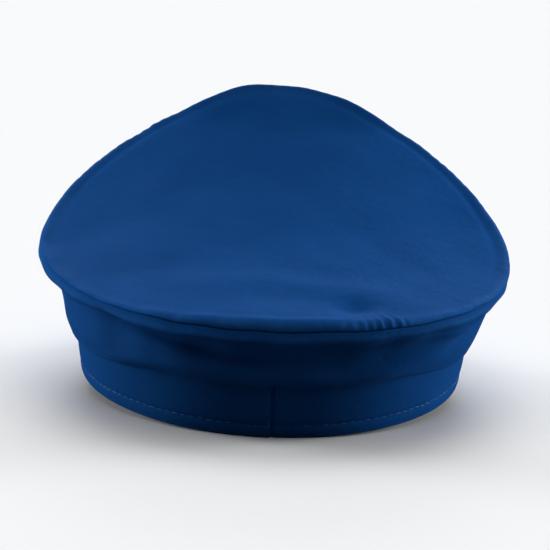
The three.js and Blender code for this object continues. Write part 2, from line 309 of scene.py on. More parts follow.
def standing(points):
    """The level hat's points, tipped back and set on the table in the part's frame."""
    return tipped(points) + PLACE


print("the level hat moves by", np.round(PLACE / MM, 2), "mm")

# %% [markdown]
# ## Making cloth meshes
#
# Each cloth is a closed thin wall: an outer face, a turned edge, an inner face and the
# other edge. Only the outer face is designed. The inner face lies one cloth thickness below
# it, along the surface's own normal, and half circles join the two at the edges, as a
# folded or pressed edge looks.

# %% Normals and walls


def grid_normals(grid, downwards=False):
    """Outward normals of a grid [turns, places, 3] round the hat, from its two directions."""
    round_hat = np.roll(grid, -1, axis=0) - np.roll(grid, 1, axis=0)
    along = np.gradient(grid, axis=1)
    return unit(np.cross(round_hat, along) if downwards else np.cross(along, round_hat))


def smoothed(values, passes):
    """Each value drawn to the mean of its neighbours, with both ends held."""
    values = values.copy()
    for _ in range(passes):
        values[1:-1] = (values[:-2] + 2 * values[1:-1] + values[2:]) / 4
    return values


def edge_round(face, normal, thickness, last):
    """Half a circle from the outer to the inner face, past the first or last place."""
    end, before = (-1, -2) if last else (0, 1)
    half = np.broadcast_to(thickness, len(face))[:, None] / 2
    out = unit(face[:, end] - face[:, before])
    middle = face[:, end] - normal[:, end] * half
    angles = np.array([30, 60, 90, 120, 150]) * RADIANS
    across = np.cos(angles)[None, :, None] * normal[:, end, None]
    beyond = np.sin(angles)[None, :, None] * out[:, None]
    return middle[:, None] + (across + beyond) * half[:, None]


def walled(face, normal, thickness, both=False):
    """Outer face, its last edge and the inner face in one row; with both, the first edge too."""
    thickness = np.broadcast_to(thickness, face.shape[:2])
    inner = face - normal * thickness[..., None]
    parts = [face, edge_round(face, normal, thickness[:, -1], last=True), inner[:, ::-1]]
    if both:
        parts.append(edge_round(face, normal, thickness[:, 0], last=False)[:, ::-1])
    return np.concatenate(parts, axis=1)


def along_places(grid):
    """Mean distance along a grid's places, from the first."""
    step = np.linalg.norm(np.diff(grid, axis=1), axis=-1).mean(0)
    return np.concatenate([[0], np.cumsum(step)])


def from_last(grid):
    """Distance of each place from the last one, along its own section."""
    step = np.linalg.norm(np.diff(grid, axis=1), axis=-1)
    return np.concatenate([np.cumsum(step[:, ::-1], axis=1)[:, ::-1], 0 * step[:, :1]], axis=1)


# %% From arrays to a Blender mesh


def grid_faces(rows, places, wrap_rows, wrap_places):
    """Quads of a grid, as row and place numbers of each quad's four corners."""
    row = np.arange(rows if wrap_rows else rows - 1)
    place = np.arange(places if wrap_places else places - 1)
    row, place = np.meshgrid(row, place, indexing="ij")
    rows_of = np.stack([row, row + 1, row + 1, row], -1).reshape(-1, 4)
    places_of = np.stack([place, place, place + 1, place + 1], -1).reshape(-1, 4)
    return rows_of, places_of


def signed_volume(points, faces):
    """Sum of the small pyramids from the origin to each face, split into triangles."""
    total = 0.0
    for k in range(1, faces.shape[1] - 1):
        a, b, c = (points[faces[:, i]] for i in (0, k, k + 1))
        total += (a * np.cross(b, c)).sum() / 6
    return total


def cloth_object(name, points, face_groups, marks=None):
    """A smooth mesh from points and groups of (faces, uv), turned to face outwards."""
    volume = sum(signed_volume(points, faces) for faces, _ in face_groups)
    if volume < 0:
        face_groups = [(faces[:, ::-1], uv[:, ::-1]) for faces, uv in face_groups]
    corners = np.concatenate([faces.ravel() for faces, _ in face_groups])
    sizes = np.concatenate([np.full(len(faces), faces.shape[1]) for faces, _ in face_groups])
    mesh = bpy.data.meshes.new(name)
    mesh.vertices.add(len(points))
    mesh.vertices.foreach_set("co", points.astype(np.float32).ravel())
    mesh.loops.add(len(corners))
    mesh.loops.foreach_set("vertex_index", corners.astype(np.int32))
    mesh.polygons.add(len(sizes))
    mesh.polygons.foreach_set("loop_start", (np.cumsum(sizes) - sizes).astype(np.int32))
    mesh.update(calc_edges=True)
    uv = np.concatenate([uv.reshape(-1, 2) for _, uv in face_groups])
    layer = mesh.uv_layers.new(name="cloth")
    layer.data.foreach_set("uv", uv.astype(np.float32).ravel())
    for mark, values in (marks or {}).items():
        attribute = mesh.attributes.new(mark, "FLOAT", "POINT")
        attribute.data.foreach_set("value", values.astype(np.float32).ravel())
    mesh.polygons.foreach_set("use_smooth", np.ones(len(sizes), bool))
    mesh.validate()
    piece = bpy.data.objects.new(name, mesh)
    bpy.context.collection.objects.link(piece)
    triangles = int((sizes - 2).sum())
    print(f"{name}: {len(points)} points, {triangles} triangles, {abs(volume) * 1e6:.1f} cm3")
    return piece


def ring_object(name, turn, loops, closing, marks):
    """A standing ring of closed level loops [turns, places, 3], with its cloth coordinates.

    The closing length is the step from each loop's last place back to its first.
    """
    rows, places = loops.shape[:2]
    along = along_places(loops)
    u = np.append(round_length(turn), HEM_ROUND)
    v = np.append(along, along[-1] + closing)
    rows_of, places_of = grid_faces(rows, places, True, True)
    faces = (rows_of % rows) * places + places_of % places
    uv = np.stack([u[rows_of], v[places_of]], -1)
    marks = {mark: np.broadcast_to(values, loops.shape[:2]) for mark, values in marks.items()}
    return cloth_object(name, standing(loops).reshape(-1, 3), [(faces, uv)], marks)


# %% [markdown]
# ## The head band
#
# The band is a strip of doubled cloth, sewn into a ring. Its lower edge, the hem, is turned
# up inside and held by one line of stitches about six millimetres above the edge. The
# stitch line sinks a little into the cloth and the hem puffs out below it. At the back the
# strip's ends overlap: the wearer's left end lies on top, so its folded edge makes a small
# step from the hem to the crown.
#
# A step that small is only believed if it is real, so extra sections stand close together
# at the lap, and the outer face rises there within about half a millimetre.

# %% Shape of the band's outer face
STITCH_HEIGHT = 5.9 * MM
LAP_PLACE = -0.6
LAP_STEP = 0.9 * MM
LAP_EDGE = 0.18 * MM
LAP_FADE = 10 * MM
LAP_SINK = 1.1 * MM
SINK_ASIDE = 0.9 * MM
SINK_WIDTH = 0.8 * MM
HEM_ALLOWANCE = 9 * MM
HEM_DOUBLING = 0.5 * MM
GROOVE_DEPTH = 0.32 * MM
GROOVE_WIDTH = 0.9 * MM
PUFF_HEIGHT = 2.6 * MM
PUFF_DEPTH = 0.3 * MM


def lap_rise(turn):
    """The lapped end's step, fading away round to the left, and the sunk line beside it."""
    past = turned(turn, LAP_PLACE) * RADIANS * HEM_HALF_LENGTH
    edge = 0.5 + 0.5 * np.tanh(past / LAP_EDGE)
    sunk = LAP_SINK * hump(past + SINK_ASIDE, SINK_WIDTH)
    return LAP_STEP * edge * hump(np.maximum(past, 0), LAP_FADE) - sunk


def band_reach(turn, height):
    """Reach of the outer face: lean, lap, puffed hem, stitch groove and soft unevenness."""
    groove = GROOVE_DEPTH * hump(height - STITCH_HEIGHT, GROOVE_WIDTH)
    puff = PUFF_DEPTH * hump(height - PUFF_HEIGHT, 2 * MM)
    soft = wandering(turn, (3, 9), 0.35 * MM, 11) * np.sin(np.pi * height / BAND_HEIGHT)
    pulled = wandering(turn, (60, 130), 0.03 * MM, 12) * hump(height - STITCH_HEIGHT, 4 * MM)
    return band_face(height) + lap_rise(turn) + puff - groove + soft + pulled


# %% Make the band
BAND_TURNS = np.arange(0, 360, 0.6)
LAP_TURNS = LAP_PLACE + np.append(np.arange(-1.5, -0.3, 0.15), np.arange(-0.3, 0.5, 0.07))
band_turns = np.unique(np.round(np.mod(np.concatenate([BAND_TURNS, LAP_TURNS]), 360), 4))
band_heights = np.concatenate([
    np.linspace(1.2, 8, 18) * MM,
    np.linspace(9, BAND_HEIGHT / MM - 1.2, 18) * MM,
])


def band_loops(turn):
    """Section loops: up the outer face, over the top edge, down inside, round the hem."""
    half = BAND_THICKNESS / 2
    outside = band_reach(turn[:, None], band_heights[None])
    below_fold = 1 - np.tanh((band_heights - HEM_ALLOWANCE) / (0.3 * MM))
    doubled = HEM_DOUBLING / 2 * below_fold
    inside = np.broadcast_to(band_face(band_heights) - BAND_THICKNESS - doubled, outside.shape)
    arc = np.array([15, 40, 65, 90, 115, 140, 165]) * RADIANS
    loops = []
    for end, sign, first, second in ((-1, 1, outside, inside), (0, -1, inside, outside)):
        middle = (first[:, end, None] + second[:, end, None]) / 2
        wide = (first[:, end, None] - second[:, end, None]) / 2
        reach = middle + wide * np.cos(arc)[None]
        height = band_heights[end] + sign * half * np.sin(arc)[None] + 0 * reach
        loops.append((reach, height))
    up = np.broadcast_to(band_heights, outside.shape)
    reach = np.concatenate([outside, loops[0][0], inside[:, ::-1], loops[1][0]], axis=1)
    height = np.concatenate([up, loops[0][1], up[:, ::-1], loops[1][1]], axis=1)
    points = section_point(turn, reach, height)
    points[..., 2] = np.maximum(points[..., 2], table_height(points[..., 1]))
    return points, height


loops, heights = band_loops(band_turns)
edge = np.maximum(bell(band_turns, LAP_PLACE, 0.35)[:, None], hump(heights - 0.3 * MM, 0.9 * MM))
band = ring_object("band_cloth", band_turns, loops, 0.4 * MM, {"edge": edge})

# %% [markdown]
# ## The side crown
#
# The side crown hangs from the top seam. It is much wider than the gap that it has to
# cross, so it falls down outside the band, turns back up on itself and is caught on the
# band's upper edge, under the fold. From behind, the fold makes a soft bulge right round
# the hat. Just below the top seam the cloth rolls out in a narrow lip.
#
# The section is one curve: over the band's edge, down, round the fold, up over the bulge,
# out under the rim, round the lip and into the groove of the seam. Long soft folds are
# added as ridges that drift round the hat as they climb.

# %% Folds of the side crown
SIDE_FOLDS = [
    dict(turn=-45, height=37, spread=7, rise=12, lean=-1.7, depth=1.8),
    dict(turn=-30, height=36, spread=6, rise=9, lean=-1.7, depth=-0.6),
    dict(turn=-66, height=33, spread=9, rise=9, lean=-1.1, depth=0.7),
    dict(turn=52, height=29, spread=10, rise=6, lean=1.2, depth=0.9),
    dict(turn=21, height=40.5, spread=13, rise=5, lean=3.0, depth=-3.1),
    dict(turn=12, height=33, spread=11, rise=5, lean=-2.4, depth=0.5),
    dict(turn=76, height=40, spread=7, rise=12, lean=0.9, depth=-0.6),
    dict(turn=-88, height=41, spread=8, rise=13, lean=-0.6, depth=-0.7),
    dict(turn=148, height=62, spread=7, rise=20, lean=0.55, depth=-1.8),
    dict(turn=-146, height=60, spread=7, rise=19, lean=-0.6, depth=-2),
    dict(turn=122, height=44, spread=8, rise=13, lean=0.5, depth=1.4),
    dict(turn=-120, height=45, spread=8, rise=14, lean=-0.5, depth=1.5),
]


def side_folds(turn, height, rows):
    """Sum of soft ridges: bell curves across a line that drifts round as it climbs."""
    total = 0.25 * MM * np.sin(height / (4 * MM) + wandering(turn, (2, 14), 1.6, 22))
    total = total + wandering(turn, (5, 30), 0.3 * MM, 23) * np.sin(height / (9 * MM))
    for row in rows:
        above = height / MM - row["height"]
        aside = turned(turn, row["turn"] + row["lean"] * above) / row["spread"]
        total += row["depth"] * MM * np.exp(-(aside**2) - (above / row["rise"]) ** 2)
    return total


# %% The section of the side crown
LIP_DROP = 5.6 * MM
SEAM_ALLOWANCE = 5 * MM
HELD_PLACES = 3


def fold_round(turn):
    """Radius of the slumped fold: tight at the sides, rounder half way round to either."""
    drawn = 1.8 * MM - 0.8 * MM * np.sin(turn * RADIANS) ** 2
    return drawn + (0.7 * bell(turn, 52, 24) + 0.4 * bell(turn, -50, 24)) * MM


def seam_round(turn):
    """Radius at which both cloths turn into the seam: tight where it is pressed."""
    return 0.55 * MM - 0.37 * MM * pressed(turn)


def seam_gap(turn):
    """Room between the two cloths at the seam: a hair where it is pressed."""
    return GAP - 0.24 * MM * pressed(turn)


def held_straight(turn):
    """Where the cloth runs straight down from the seam, with no hollow under it: the right."""
    return bell(turn, -58, 40, power=4)


def full_side(turn):
    """Where the crown stands out fuller than the chart: right of the back."""
    return bell(turn, -38, 18)


def flatter_side(turn):
    """Where the slumped fold lies flatter on the band: half way round to either side."""
    return bell(turn, 46, 18) + bell(turn, -44, 18)


def hollow(turn):
    """Where the cloth is drawn in deep below the lip: left of the back."""
    return bell(turn, 27, 18)


def arc(reach, height, radius, degrees):
    """Points round a centre given for each turn; the angles are one row, or one for each."""
    angle = np.atleast_2d(degrees) * RADIANS
    radius = np.broadcast_to(radius, reach.shape)[:, None]
    across = reach[:, None] + radius * np.cos(angle)
    up = height[:, None] + radius * np.sin(angle)
    return np.stack([across, up], -1)


def thinned(from_seam, turn):
    """Thickness of the cloth: pressed thin where it turns sharply into the seam."""
    thin = 0.8 * seam_round(turn)[:, None]
    return CLOTH + (thin - CLOTH) * hump(from_seam, 1.6 * MM)


def crown_section(turn):
    """The outer face's section [turns, places, 2], and which of its places hang free."""
    fold = crown_column("fold", turn) + wandering(turn, (4, 12), 0.35 * MM, 21)
    fold_height = fold + fold_round(turn)
    fold_reach = band_face(fold_height) + GAP + fold_round(turn) + lap_rise(turn)
    rim = rim_reach(turn)
    seam = rim_height(turn)
    lip = rim - lip_tuck(turn)
    tuck = np.maximum(panel_tuck(turn), lip_tuck(turn) + 0.3 * MM)
    straight = held_straight(turn)
    flat = pressed(turn)

    def point(reach, height):
        return np.stack(np.broadcast_arrays(reach, height), -1)

    def mixed(first, second, share):
        return first + (second - first) * np.reshape(share, (-1, 1))

    over = BAND_HEIGHT + GAP
    start = point(BAND_FLARE - 2 * MM, over + 0 * turn)[:, None]
    corner = arc(np.full_like(turn, BAND_FLARE), np.full_like(turn, BAND_HEIGHT), GAP, [90, 45, 10])
    down_share = np.array([0.15, 0.35, 0.6, 0.85])
    down = BAND_HEIGHT + down_share[None] * (fold_height[:, None] - BAND_HEIGHT)
    hidden = np.stack([band_face(down) + GAP + lap_rise(turn)[:, None] * down_share, down], -1)

    bulge_out = crown_column("bulge_out", turn) - 1.0 * MM * flatter_side(turn)
    bulge = point(bulge_out, crown_column("bulge", turn))
    slack_out = crown_column("slack_out", turn) + 0.9 * MM * straight + 2 * MM * full_side(turn)
    slack = point(slack_out, crown_column("slack", turn))
    fullest = point(lip, seam - (0.6 - 0.12 * flat) * LIP_DROP)
    lip_low = point(lip - 1.3 * MM - 0.7 * MM * flat, seam - LIP_DROP)
    under = crown_column("under", turn) + 4.5 * MM * hollow(turn)
    under = point(rim - under, seam - crown_column("drop", turn))
    lip_low = mixed(lip_low, mixed(fullest, slack, 0.28), straight)
    under = mixed(under, mixed(fullest, slack, 0.6), straight)

    climb = bulge - np.stack([fold_reach + fold_round(turn), fold_height], -1)
    last = 270 + np.arctan2(climb[:, 1], climb[:, 0]) / RADIANS
    round_fold = 180 + (last[:, None] - 180) * np.linspace(0, 1, 8)
    turned_up = arc(fold_reach, fold_height, fold_round(turn), round_fold)
    small = seam_round(turn)
    shoulder_height = seam - seam_gap(turn) / 2 - small
    lean = np.arctan2(lip - (rim - tuck), shoulder_height - fullest[:, 1])[:, None] / RADIANS
    over_lip = lean + (90 - lean) * np.linspace(0, 1, 5)
    shoulder = arc(rim - tuck - small, shoulder_height, small, over_lip)
    knots = [turned_up[:, -1], bulge, slack, under, lip_low, fullest, shoulder[:, 0]]
    outer = through_knots(np.stack(knots, axis=1), [9, 10, 10, 6, 5, 5])[:, 1:-1]
    inwards = np.array([0.3, 0.65, 1]) * SEAM_ALLOWANCE
    allowance = shoulder[:, -1:] - np.stack([inwards, 0 * inwards], -1)[None]
    line = np.concatenate([start, corner, hidden, turned_up, outer, shoulder, allowance], axis=1)
    before = sum(part.shape[1] for part in (start, corner, hidden, turned_up))
    after = shoulder.shape[1] + allowance.shape[1]
    free = np.zeros(line.shape[1])
    free[before + HELD_PLACES : -(after + HELD_PLACES)] = 1
    return line, smoothed(free, 12)


# %% [markdown]
# ## Gathers beside the seam
#
# Where two cloths of different length are sewn together, the longer one is gathered: short
# waves stand along the seam and die out within a centimetre. They are strongest in a few
# places where the maker had to work in the spare cloth. The same waves run over the top
# panel and the lip below it, because one thread holds both.

# %% Short waves along the seam
GATHERS = [
    dict(turn=-25.5, spread=6.5, wave=2.4, depth=0.6),
    dict(turn=-10, spread=3, wave=1.9, depth=0.2),
    dict(turn=17, spread=7, wave=3.3, depth=0.1),
    dict(turn=-131, spread=9, wave=3.0, depth=0.12),
    dict(turn=141, spread=8, wave=2.8, depth=0.15),
]


def gathers(turn, away, reach):
    """Waves round the hat, none in the seam itself, fullest beside it, gone past the reach."""
    waves = wandering(turn, (70, 140), 0.05 * MM, 31)[:, None] * hump(away, 4 * MM)
    uneven = 1 + wandering(turn, (20, 60), 0.2, 32)
    drift = wandering(turn, (10, 40), 0.5, 33)
    fade = hump(away, reach * uneven[:, None])
    for row in GATHERS:
        size = bell(turn, row["turn"], row["spread"]) * uneven
        beat = np.cos(2 * np.pi * turned(turn, row["turn"]) / row["wave"] + drift)
        waves = waves + (row["depth"] * MM * size * beat)[:, None] * fade
    return waves * (1 - hump(away, 1.2 * MM))


# %% Make the side crown
FINE_TURNS = np.arange(-34, -16, 0.25)
CROWN_TURNS = np.unique(np.round(np.mod(np.append(np.arange(0, 360, 0.6), FINE_TURNS), 360), 3))
section, free = crown_section(CROWN_TURNS)
face = section_point(CROWN_TURNS, section[..., 0], section[..., 1])
normal = grid_normals(face)
folds = side_folds(CROWN_TURNS[:, None], section[..., 1], SIDE_FOLDS)
face = face + normal * (folds * free)[..., None]
normal = grid_normals(face)
from_seam = np.maximum(from_last(face) - SEAM_ALLOWANCE, 0)
face = face + normal * 0.1 * gathers(CROWN_TURNS, from_seam, 4 * MM)[..., None]
normal = grid_normals(face)
loops = walled(face, normal, thinned(from_seam, CROWN_TURNS), both=True)
above_fold = section[..., 1] - crown_column("fold", CROWN_TURNS)[:, None]
outside = section[..., 0] > crown_column("bulge_out", CROWN_TURNS)[:, None] * 0.5
low_fold = hump(above_fold - 2 * MM, 2.5 * MM) * outside
lip_edge = hump(from_seam - 3.2 * MM, 1.1 * MM)
edge = np.zeros(loops.shape[:2])
edge[:, : face.shape[1]] = np.maximum(0.25 * low_fold, lip_edge)
side_crown = ring_object("side_crown_cloth", CROWN_TURNS, loops, 0.2 * MM, {"edge": edge})
print("side crown's normals point", np.sign((normal[:, 40, :2] * face[:, 40, :2]).sum(-1).mean()))

# %% [markdown]
# ## The top panel
#
# The top panel is stretched over the whole rim, so between its edges it takes the shape
# that an evenly stretched skin takes: each wave of the rim's height fades towards the
# middle as a power of the distance. Only broad waves reach the middle, and small ones die
# out near the edge, which is just how a taut cloth carries its gathers. At the rim the
# panel rolls over and dives into the seam.

# %% Height of the stretched panel
TOP_WAVES = 120
TOP_DENTS = [
    dict(x=-26, y=-99, run=34, width=13, angle=28, depth=2.2),
    dict(x=24, y=-97, run=22, width=12, angle=-40, depth=1.4),
    dict(x=-82, y=-34, run=34, width=12, angle=62, depth=1.2),
    dict(x=-35, y=87, run=11, width=7, angle=66, depth=2.3),
    dict(x=-30, y=84, run=24, width=9, angle=-8, depth=0.8),
    dict(x=-10, y=66, run=50, width=13, angle=-4, depth=-1.3),
    dict(x=44, y=40, run=40, width=12, angle=35, depth=0.6),
    dict(x=-52, y=18, run=36, width=12, angle=-50, depth=0.6),
]
TOP_MIDDLE_Y = (RIM_BACK - RIM_FRONT) / 2


def roll_rise(turn):
    """The panel's height above its seam: fuller across the back, thin where it is pressed."""
    fuller = 2.2 * MM * bell(turn, -4, 29)
    return 2.5 * MM + fuller - 0.9 * MM * bell(turn, -68, 28) - 1.5 * MM * pressed(turn)


def roll_reach(turn):
    """How far in from the seam the panel starts to roll over: farther across the back."""
    return 3.2 * MM + 2.3 * MM * bell(turn, -2, 28)


def stretched(turn, share):
    """The rim's waves, each times the share of the way out to the power of its count."""
    round_hat = np.arange(720) / 2.0
    rim = rim_height(round_hat) + roll_rise(round_hat)
    waves = np.fft.rfft(rim)[:TOP_WAVES] / len(rim)
    waves[1:] *= 2
    count = np.arange(TOP_WAVES)
    spin = np.exp(1j * np.outer(turn * RADIANS, count)) * waves
    return (spin[:, None, :] * share[None, :, None] ** count).sum(-1).real


def top_dents(x, y, rows):
    """Sum of long soft dents, each a bell curve along and across its run."""
    total = np.zeros(x.shape)
    for row in rows:
        cos, sin = np.cos(row["angle"] * RADIANS), np.sin(row["angle"] * RADIANS)
        dx, dy = x / MM - row["x"], y / MM - row["y"]
        along = (dx * cos + dy * sin) / row["run"]
        across = (dy * cos - dx * sin) / row["width"]
        total -= row["depth"] * MM * np.exp(-(along**2) - across**2)
    return total


def top_waves(x, y):
    """Faint waves in the slack cloth: a few plane waves with random directions and starts."""
    draw = np.random.default_rng(41)
    total = np.zeros(x.shape)
    for length in (26, 31, 37, 44, 52, 60, 70):
        way, start = draw.uniform(0, 2 * np.pi, 2)
        total += np.sin((x * np.cos(way) + y * np.sin(way)) * 2 * np.pi / (length * MM) + start)
    return 0.07 * MM * total


def rim_groove(turn, share):
    """A shallow groove inside the rim, where the seam's turned-in edges end below."""
    sides = bell(turn, -122, 48, power=4) + 0.5 * bell(turn, 135, 32, power=4)
    across = hump((1 - share) * RIM_HALF_WIDTH - 3.5 * MM, 2.4 * MM)
    return (0.15 * MM + 0.55 * MM * sides)[:, None] * across[None]


def top_face(turn, share):
    """The panel inside its roll: even rings about its middle, at the stretched height."""
    reach = rim_reach(turn) - panel_tuck(turn) - roll_reach(turn)
    edge = section_point(turn, reach[:, None], 0.0)
    x = edge[..., 0] * share[None]
    y = TOP_MIDDLE_Y + (edge[..., 1] - TOP_MIDDLE_Y) * share[None]
    z = stretched(turn, share) + (1 - share**16)[None] * top_dents(x, y, TOP_DENTS)
    z = z + (1 - share**8)[None] * top_waves(x, y) - rim_groove(turn, share)
    return np.stack([x, y, z], -1)


# %% Make the top panel
TOP_SHARES = np.concatenate([np.linspace(0.04, 0.84, 26), np.linspace(0.86, 1, 14)])


def top_roll(turn):
    """Outside the last ring: part of an ellipse over the rim, then round into the seam."""
    seam = rim_reach(turn) - panel_tuck(turn)
    floor = rim_height(turn) + seam_gap(turn) / 2
    small = seam_round(turn)
    last = 90 - 42 * pressed(turn)
    turned_in = (90 - last)[:, None] * np.array([1, 0.72, 0.44, 0.16, 0])
    under = arc(seam - small, floor + small, small, turned_in - np.array([0, 25, 50, 75, 90]))
    end_height = under[:, 0, 1]
    rise = np.maximum(stretched(turn, np.array([1.0]))[:, 0] - end_height, 0.5 * small)
    angle = np.array([0.11, 0.22, 0.33, 0.44, 0.55, 0.66, 0.78, 0.9]) * last[:, None] * RADIANS
    begin = seam - roll_reach(turn)
    across = (under[:, 0, 0] - begin)[:, None] * np.sin(angle) / np.sin(last * RADIANS)[:, None]
    over = begin[:, None] + across
    fallen = (1 - np.cos(angle)) / (1 - np.cos(last * RADIANS))[:, None]
    above = (end_height + rise)[:, None] - rise[:, None] * fallen
    reach = np.concatenate([over, under[..., 0]], axis=1)
    height = np.concatenate([above, under[..., 1]], axis=1)
    return section_point(turn, reach, height)


outer = np.concatenate([top_face(CROWN_TURNS, TOP_SHARES), top_roll(CROWN_TURNS)], axis=1)
normal = grid_normals(outer, downwards=True)
outer = outer + normal * gathers(CROWN_TURNS, from_last(outer), 7 * MM)[..., None]
normal = grid_normals(outer, downwards=True)
from_seam = np.maximum(from_last(outer) - 1.6 * seam_round(CROWN_TURNS)[:, None], 0)
rings = walled(outer, normal, thinned(from_seam, CROWN_TURNS))
middle = top_face(np.array([0.0]), np.array([0.0]))[0]
poles = np.concatenate([middle, middle - [0, 0, CLOTH]])
rows, places = rings.shape[:2]
rows_of, places_of = grid_faces(rows, places, True, False)
faces = (rows_of % rows) * places + places_of
level = standing(rings).reshape(-1, 3)
edge = np.zeros(rings.shape[:2])
roll_edge = hump(from_last(outer) - 2.5 * MM, 2.2 * MM)
edge[:, : outer.shape[1]] = roll_edge * (1 - 0.8 * pressed(CROWN_TURNS))[:, None]
plan = rings[..., :2].reshape(-1, 2)
ring_uv = plan[faces]
first, last = np.arange(rows) * places, np.arange(rows) * places + places - 1
outer_fan = np.stack([np.full(rows, rows * places), np.roll(first, -1), first], -1)
inner_fan = np.stack([np.full(rows, rows * places + 1), last, np.roll(last, -1)], -1)
plan = np.concatenate([plan, poles[:, :2]])
top_panel = cloth_object(
    "top_panel_cloth",
    np.concatenate([level, standing(poles)]),
    [(faces, ring_uv), (outer_fan, plan[outer_fan]), (inner_fan, plan[inner_fan])],
    {"edge": np.append(edge.ravel(), [0, 0])},
)

# %% [markdown]
# ## The peak
#
# The peak is a stiff crescent covered in the same cloth. Its inner edge lies under the hem
# at the front, its outer edge rests on the table across the middle and lifts towards both
# ends. A line of stitches runs round it a little inside the edge.

# %% Make the peak
PEAK_HALF_SPREAD = 68
PEAK_REACH = 44 * MM
PEAK_THICKNESS = 2.4 * MM
PEAK_ROOT = 2 * MM
PEAK_EDGE_ROOM = 0.4 * MM
PEAK_RESTING_SPREAD = 28
PEAK_END_LIFT = 9 * MM
PEAK_TAPER_ANGLE = 87
PEAK_TAPER = 0.75


def peak_reach(aside):
    """How far the peak stands out from the hem: most in the middle, none at its ends."""
    part = np.abs(aside) / PEAK_HALF_SPREAD
    return PEAK_REACH * np.cos(part * PEAK_TAPER_ANGLE * RADIANS) ** PEAK_TAPER


def peak_face(aside, share):
    """Upper face: from the hem out along each section, falling to the edge's height.

    The shares of the way out are a grid with one row for each section, or one for all.
    """
    turn = 180 + aside
    reach = peak_reach(aside)
    edge_y = section_point(turn, reach[:, None], 0.0)[:, 0, 1]
    beyond = np.maximum(np.abs(aside) - PEAK_RESTING_SPREAD, 0)
    lift = PEAK_END_LIFT * (beyond / (PEAK_HALF_SPREAD - PEAK_RESTING_SPREAD)) ** 2
    edge_height = table_height(edge_y) + lift + PEAK_THICKNESS
    fall = 0.7 * share + 0.3 * share**2
    run = np.maximum(share, 0) * (reach - PEAK_EDGE_ROOM)[:, None] + np.minimum(share, 0) * PEAK_ROOT
    height = (edge_height + GAP)[:, None] * np.where(share > 0, fall, 0) - GAP
    return section_point(turn, run, height)


peak_asides = PEAK_HALF_SPREAD * np.sin(np.linspace(-90, 90, 161) * RADIANS)
peak_shares = np.concatenate([[-1, -0.5], np.linspace(0, 1, 30)])
face = peak_face(peak_asides, peak_shares[None])
round_hat = np.gradient(face, axis=0)
normal = unit(np.cross(round_hat, np.gradient(face, axis=1)))
normal = normal * np.sign(normal[80, 20, 2])
loops = walled(face, normal, PEAK_THICKNESS)
loops[..., 2] = np.maximum(loops[..., 2], table_height(loops[..., 1]))
rows, places = loops.shape[:2]
rows_of, places_of = grid_faces(rows, places, False, True)
faces = rows_of * places + places_of % places
plan = loops[..., :2].reshape(-1, 2)
cap = np.arange(places)[None, ::-1]
other_cap = (rows - 1) * places + np.arange(places)[None]
peak = cloth_object(
    "peak_cloth",
    standing(loops).reshape(-1, 3),
    [(corners, plan[corners]) for corners in (faces, cap, other_cap)],
    {"edge": np.tile(hump(np.arange(places) - len(peak_shares), 3.0), rows)},
)

# %% [markdown]
# ## Stitches
#
# The hem is held by a line of stitches that goes right round the band, and the covering of
# the peak by another a little inside its edge. A stitch is a short length of thread that
# comes up, lies on the cloth and dives back in. Each is a tube of six sides with tapered
# ends, bent along the cloth it lies on. All the stitches of a seam are one mesh, worked out
# as one array: stitch, ring, corner.

# %% Tubes of thread along the cloth
STITCH_PITCH = 4.1 * MM
STITCH_LENGTH = 3.2 * MM
THREAD_RADIUS = 0.19 * MM
STITCH_RINGS = np.array([-1, -0.8, -0.45, 0, 0.45, 0.8, 1])
THREAD_SIDES = 6


def stitches_object(name, paths, outwards, sunk):
    """Tubes on paths [stitches, rings, 3]; each bows out from the cloth, less where sunk."""
    count, rings = paths.shape[:2]
    aside = unit(np.cross(outwards, unit(np.gradient(paths, axis=1))))
    bow = THREAD_RADIUS * (0.75 - 1.3 * STITCH_RINGS**4)
    middle = paths + outwards * (bow[None, :] - sunk[:, None])[..., None]
    radius = THREAD_RADIUS * (1 - 0.55 * STITCH_RINGS**6)
    angle = np.arange(THREAD_SIDES) * 2 * np.pi / THREAD_SIDES
    spokes = aside[:, :, None] * np.cos(angle)[:, None]
    spokes = spokes + outwards[:, :, None] * np.sin(angle)[:, None]
    points = middle[:, :, None] + spokes * radius[None, :, None, None]
    base = (np.arange(count) * rings * THREAD_SIDES)[:, None, None]
    rows_of, places_of = grid_faces(rings, THREAD_SIDES, False, True)
    sides = (base + (rows_of * THREAD_SIDES + places_of % THREAD_SIDES)[None]).reshape(-1, 4)
    u = STITCH_RINGS[rows_of] * STITCH_LENGTH / 2
    v = places_of * (2 * np.pi * THREAD_RADIUS / THREAD_SIDES)
    side_uv = np.tile(np.stack([u, v], -1), (count, 1, 1))
    cap = np.arange(THREAD_SIDES)
    start = (base[:, 0] + cap[None, ::-1]).reshape(-1, THREAD_SIDES)
    end = (base[:, 0] + cap[None] + (rings - 1) * THREAD_SIDES).reshape(-1, THREAD_SIDES)
    caps = np.concatenate([start, end])
    groups = [(sides, side_uv), (caps, np.zeros(caps.shape + (2,)))]
    return cloth_object(name, points.reshape(-1, 3), groups)


def outward_of(point_at, turn, other, turn_step, towards):
    """Unit normal of a surface point_at(turn, other), from its slopes in both directions.

    It is turned, where needed, to the side that the vectors towards point to.
    """
    step = 0.05 * MM
    first = point_at(turn + turn_step, other) - point_at(turn - turn_step, other)
    second = point_at(turn, other + step) - point_at(turn, other - step)
    normal = unit(np.cross(first, second))
    return normal * np.sign((normal * towards).sum(-1))[..., None]


# %% Stitches of the hem and of the lapped end
def band_point(turn, height):
    """Points of the band's outer face for arrays of turns and heights of one shape."""
    flat, up = turn.ravel(), height.ravel()
    points = section_point(flat, band_reach(flat, up)[:, None], up[:, None])[:, 0]
    return points.reshape(turn.shape + (3,))


